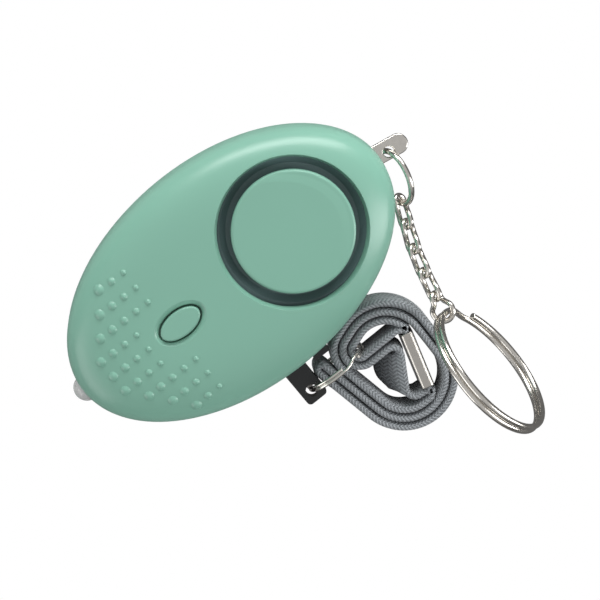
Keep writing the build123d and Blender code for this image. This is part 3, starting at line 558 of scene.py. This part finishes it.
def belt_points(start, wheels, finish):
    """Points along a tape's middle line round wheels; a wheel's radius is negative where it turns right."""
    stops = [(start, 0), *wheels, (finish, 0)]
    points = [Vector(start)]
    arrival = None
    for (centre, radius), (next_centre, next_radius) in pairwise(stops):
        lean = degrees(acos((next_radius - radius) / dist(centre, next_centre)))
        left = turned(bearing(centre, next_centre) + lean)
        leave = Vector(centre) - radius * left
        if arrival is not None:
            first, last = bearing(centre, arrival), bearing(centre, leave)
            sweep = (last - first) % 360 if radius > 0 else -((first - last) % 360)
            count = max(int(abs(radians(sweep) * radius) / POINT_SPACING), 2)
            angles = [first + sweep * index / count for index in range(1, count + 1)]
            points += [Vector(centre) + abs(radius) * turned(angle) for angle in angles]
        arrival = Vector(next_centre) - next_radius * left
        count = max(int((arrival - leave).length / POINT_SPACING), 1)
        points += [leave.lerp(arrival, index / count) for index in range(1, count + 1)]
    return points


def lap_place(along, across):
    """A place in the clip, along it from its top end and across it."""
    run = (Vector(CRIMP_BOTTOM) - Vector(CRIMP_TOP)).normalized()
    side = Vector((-run.y, run.x))
    return tuple(Vector(CRIMP_TOP) + run * along + side * across)


def strap_runs():
    """The tape's three runs from above: the eye, the doubled loop and the lap in the clip."""
    top, bottom = -LAP_REACH, dist(CRIMP_TOP, CRIMP_BOTTOM) + LAP_REACH
    eye_wheels = [
        (UPPER_WHEEL, UPPER_RADIUS - 2 * TAPE_PITCH),
        (EYE_WHEEL, EYE_RADIUS),
        (EYE_BEND, -EYE_BEND_RADIUS),
    ]
    loop_wheels = [
        (LOWER_BEND, -LOWER_BEND_RADIUS),
        (UPPER_BEND, UPPER_BEND_RADIUS),
        (EYE_WHEEL, -EYE_RADIUS - TAPE_PITCH),
        (UPPER_WHEEL, TAPE_PITCH - UPPER_RADIUS),
        (LOWER_WHEEL, TAPE_PITCH - LOWER_RADIUS),
        (BIGHT_WHEEL, BIGHT_RADIUS),
        (LOWER_WHEEL, LOWER_RADIUS),
        (UPPER_WHEEL, UPPER_RADIUS),
        (EYE_WHEEL, EYE_RADIUS + 2 * TAPE_PITCH),
        (LOWER_WHEEL, LOWER_RADIUS - 2 * TAPE_PITCH),
        (TAIL_BEND, TAIL_BEND_RADIUS),
    ]
    return [
        (lap_place(top, STRAND_OFFSET), eye_wheels, lap_place(top, -STRAND_OFFSET)),
        (lap_place(bottom, -STRAND_OFFSET), loop_wheels, lap_place(bottom, STRAND_OFFSET)),
        (lap_place(top - LAP_REACH, 0), [], lap_place(bottom + LAP_REACH, 0)),
    ]


def lean_share(point):
    """How much of the lean a point of the tape has: most between the inner stretch's two bends."""
    low, high = Vector(LOWER_BEND), Vector(UPPER_BEND)
    share = (point - low).dot(high - low) / (high - low).length_squared
    off = abs((point - low).cross((high - low).normalized()))
    if not 0 < share < 1 or off > LEAN_BAND:
        return 0.0
    return sin(pi * share) ** LEAN_FULLNESS_SHARE


def arch_share(point):
    """How high the arch over the small split ring stands at a point, as a share of its full height."""
    reach = (point.y - EYE_WHEEL[1]) / ARCH_HALF_SPAN
    if abs(reach) >= 1 or not ARCH_FROM_X < point.x < ARCH_TO_X:
        return 0.0
    return (1 - reach**2) ** 0.5


def tape_section(settings):
    """Corners of the tape's rounded edge view: up one side from its lower edge, then down the other."""
    half = settings.thickness / MM / 2
    width = settings.width / MM
    corners = []
    for side in (1, -1):
        for index in range(SIDE_CORNERS):
            share = index / (SIDE_CORNERS - 1)
            height_share = share if side == 1 else 1 - share
            bulge_share = 1 - abs(2 * height_share - 1) ** EDGE_POWER * EDGE_ROUNDING_SHARE
            corners.append((side * half * bulge_share, width * height_share))
    return corners


def add_tape(mesh, layer, points, settings):
    """Sweep the tape's section along points, and map it with its length in millimetres and its girth."""
    corners = tape_section(settings)
    width = settings.width / MM
    rows, lengths, length = [], [], 0.0
    for index, point in enumerate(points):
        before, after = points[max(index - 1, 0)], points[min(index + 1, len(points) - 1)]
        heading = (after - before).normalized()
        left = Vector((-heading.y, heading.x))
        length += (point - before).length
        lengths.append(length)
        lean = settings.lean / MM * lean_share(point)
        base = max(settings.lift, settings.arch * arch_share(point)) / MM
        squash = (width + settings.lift / MM - base) / width
        row = []
        for across, height in corners:
            place = point + left * (across + lean * (1 - height / width))
            row.append(mesh.verts.new(Vector((place.x, place.y, base + height * squash)) * MM))
        rows.append(row)
    girth = len(corners)
    for (low_row, low), (high_row, high) in pairwise(zip(rows, lengths)):
        for index in range(girth):
            after = (index + 1) % girth
            face = mesh.faces.new((low_row[index], high_row[index], high_row[after], low_row[after]))
            first, last = index / girth, (index + 1) / girth
            for loop, spot in zip(face.loops, ((low, first), (high, first), (high, last), (low, last))):
                loop[layer].uv = spot
    mesh.faces.new(rows[0])
    mesh.faces.new(reversed(rows[-1]))
    return length


class ALARM_OT_strap(bpy.types.Operator):
    """Make the braided wrist strap"""

    bl_idname = "alarm.strap"
    bl_label = "Make the strap"

    def execute(self, context):
        settings = context.scene.alarm_strap
        mesh = bmesh.new()
        layer = mesh.loops.layers.uv.new("tape")
        total = sum(add_tape(mesh, layer, belt_points(*run), settings) for run in strap_runs())
        bmesh.ops.recalc_face_normals(mesh, faces=mesh.faces)
        strap = add_object(context, "wrist_strap_braid", mesh, strap_material(settings))
        strap.data.shade_smooth()
        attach(strap, "pin")
        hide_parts("wrist_strap")
        return {"FINISHED"}


class ALARM_OT_lamp(bpy.types.Operator):
    """Make the lamp clear and put its cup and post inside"""

    bl_idname = "alarm.lamp"
    bl_label = "Finish the lamp"

    def execute(self, context):
        cover_with(lamp_material(), "led_lamp")
        metal = metal_material("lamp frame", colour=(0.8, 0.8, 0.78), roughness=0.2)
        for name, form in LAMP_METAL.items():
            mesh = bmesh.new()
            place = Matrix.Translation((LAMP_TIP + form["offset"]) * MM)
            radius = form["radius"] * MM
            bmesh.ops.create_cone(
                mesh, segments=LAMP_METAL_SIDES, cap_ends=True, radius1=radius,
                radius2=radius * LAMP_METAL_END_SHARE, depth=form["depth"] * MM,
                matrix=place @ Matrix.Rotation(radians(-90), 4, "Y"),
            )
            piece = add_object(context, name, mesh, metal)
            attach(piece, "case")
        return {"FINISHED"}


def picture_axes():
    """The camera's right, up and forward directions."""
    forward = (CAMERA_TARGET - CAMERA_PLACE).normalized()
    right = forward.cross(CAMERA_UP).normalized()
    return right, right.cross(forward), forward


def add_light(context, name, form, power):
    """An area light that faces the camera's target."""
    right, up, _ = picture_axes()
    offset = form["up"] * up + form["right"] * right + form["rise"] * Vector((0, 0, 1))
    data = bpy.data.lights.new(name, "AREA")
    data.shape = "RECTANGLE"
    data.size, data.size_y = (side * MM for side in form["sides"])
    data.energy = power
    light = bpy.data.objects.new(name, data)
    light.location = (CAMERA_TARGET + offset) * MM
    light.rotation_mode = "QUATERNION"
    light.rotation_quaternion = (-offset).to_track_quat("-Z", "Y")
    context.scene.collection.objects.link(light)


def add_camera(context):
    right, up, forward = picture_axes()
    data = bpy.data.cameras.new("camera")
    data.lens = CAMERA_LENS
    data.sensor_width = CAMERA_SENSOR
    data.clip_start = CAMERA_CLIP * MM
    camera = bpy.data.objects.new("camera", data)
    camera.rotation_mode = "QUATERNION"
    camera.rotation_quaternion = Matrix((right, up, -forward)).transposed().to_quaternion()
    camera.location = CAMERA_PLACE * MM
    context.scene.collection.objects.link(camera)
    context.scene.camera = camera


def floor_material(settings):
    """Pale floor that looks plain white to the camera, and greyer in shiny pieces."""
    shader = Shader("pale floor", roughness=0.9)
    mottle = shader.noise(shader.place(), scale=0.02)
    shader.feed("Base Color", shader.mix(mottle, *FLOOR_COLOURS))
    seen = shader.node("ShaderNodeLightPath", output="Is Camera Ray")
    mirrored = shader.node("ShaderNodeLightPath", output="Is Glossy Ray")
    white = shader.node("ShaderNodeEmission", values={"Strength": 1.0})
    grey = shader.node("ShaderNodeEmission", values={"Strength": settings.floor_mirrored})
    plain = Wire(shader, shader.surface.outputs[0])
    shiny = shader.node("ShaderNodeMixShader", values={0: mirrored, 1: plain, 2: grey})
    mixed = shader.node("ShaderNodeMixShader", values={0: seen, 1: shiny, 2: white})
    shader.tree.links.new(mixed.socket, shader.tree.nodes["Material Output"].inputs["Surface"])
    return shader.material


def sky(settings):
    """Even light that falls off towards the horizon, so that shiny pieces have something to show."""
    world = bpy.data.worlds.new("even light")
    world.use_nodes = True
    nodes = Nodes(world.node_tree)
    _, _, rise = nodes.parts(nodes.node("ShaderNodeTexCoord", output="Generated", is_vector=True))
    strength = nodes.node("ShaderNodeMapRange", values={
        "Value": rise,
        "From Min": SKY_DIM_SHARE,
        "From Max": SKY_FULL_SHARE,
        "To Min": settings.surround * settings.horizon_share,
        "To Max": settings.surround,
    })
    background = nodes.tree.nodes["Background"]
    background.inputs["Color"].default_value = (1.0, 1.0, 1.0, 1.0)
    nodes.tree.links.new(strength.socket, background.inputs["Strength"])
    return world


class ALARM_OT_stage(bpy.types.Operator):
    """Set the floor, the lights and the camera"""

    bl_idname = "alarm.stage"
    bl_label = "Set the stage"

    def execute(self, context):
        settings = context.scene.alarm_stage
        context.scene.view_settings.view_transform = "Standard"
        context.scene.world = sky(settings)
        mesh = bmesh.new()
        bmesh.ops.create_grid(mesh, x_segments=1, y_segments=1, size=FLOOR_HALF_WIDTH * MM)
        floor = add_object(context, "floor", mesh, floor_material(settings))
        floor.location.z = -FLOOR_DROP * MM
        for name, form in LIGHTS.items():
            add_light(context, f"{name} light", form, getattr(settings, f"{name}_power"))
        add_camera(context)
        return {"FINISHED"}


class ALARM_PT_panel(bpy.types.Panel):
    """Sidebar panel with every step"""

    bl_label = "Safety alarm"
    bl_idname = "ALARM_PT_panel"
    bl_space_type = "VIEW_3D"
    bl_region_type = "UI"
    bl_category = "Safety alarm"

    def draw(self, context):
        for label, group in SETTINGS.items():
            box = self.layout.box()
            for setting in group.__annotations__:
                box.prop(getattr(context.scene, label), setting)
        for operator in STEPS:
            self.layout.operator(operator.bl_idname)


SETTINGS = {
    "alarm_shell": AlarmShellSettings,
    "alarm_strap": AlarmStrapSettings,
    "alarm_stage": AlarmStageSettings,
}
STEPS = (ALARM_OT_case, ALARM_OT_metal, ALARM_OT_inside, ALARM_OT_strap, ALARM_OT_lamp, ALARM_OT_stage)
CLASSES = (*SETTINGS.values(), *STEPS, ALARM_PT_panel)


def register():
    for item in CLASSES:
        bpy.utils.register_class(item)
    for label, group in SETTINGS.items():
        setattr(bpy.types.Scene, label, PointerProperty(type=group))


def unregister():
    for label in SETTINGS:
        delattr(bpy.types.Scene, label)
    for item in reversed(CLASSES):
        bpy.utils.unregister_class(item)


def main():
    register()
    bpy.ops.alarm.case()
    bpy.ops.alarm.metal()
    bpy.ops.alarm.inside()
    bpy.ops.alarm.strap()
    bpy.ops.alarm.lamp()
    bpy.ops.alarm.stage()
    bpy.context.view_layer.update()


if __name__ == "__main__":
    main()
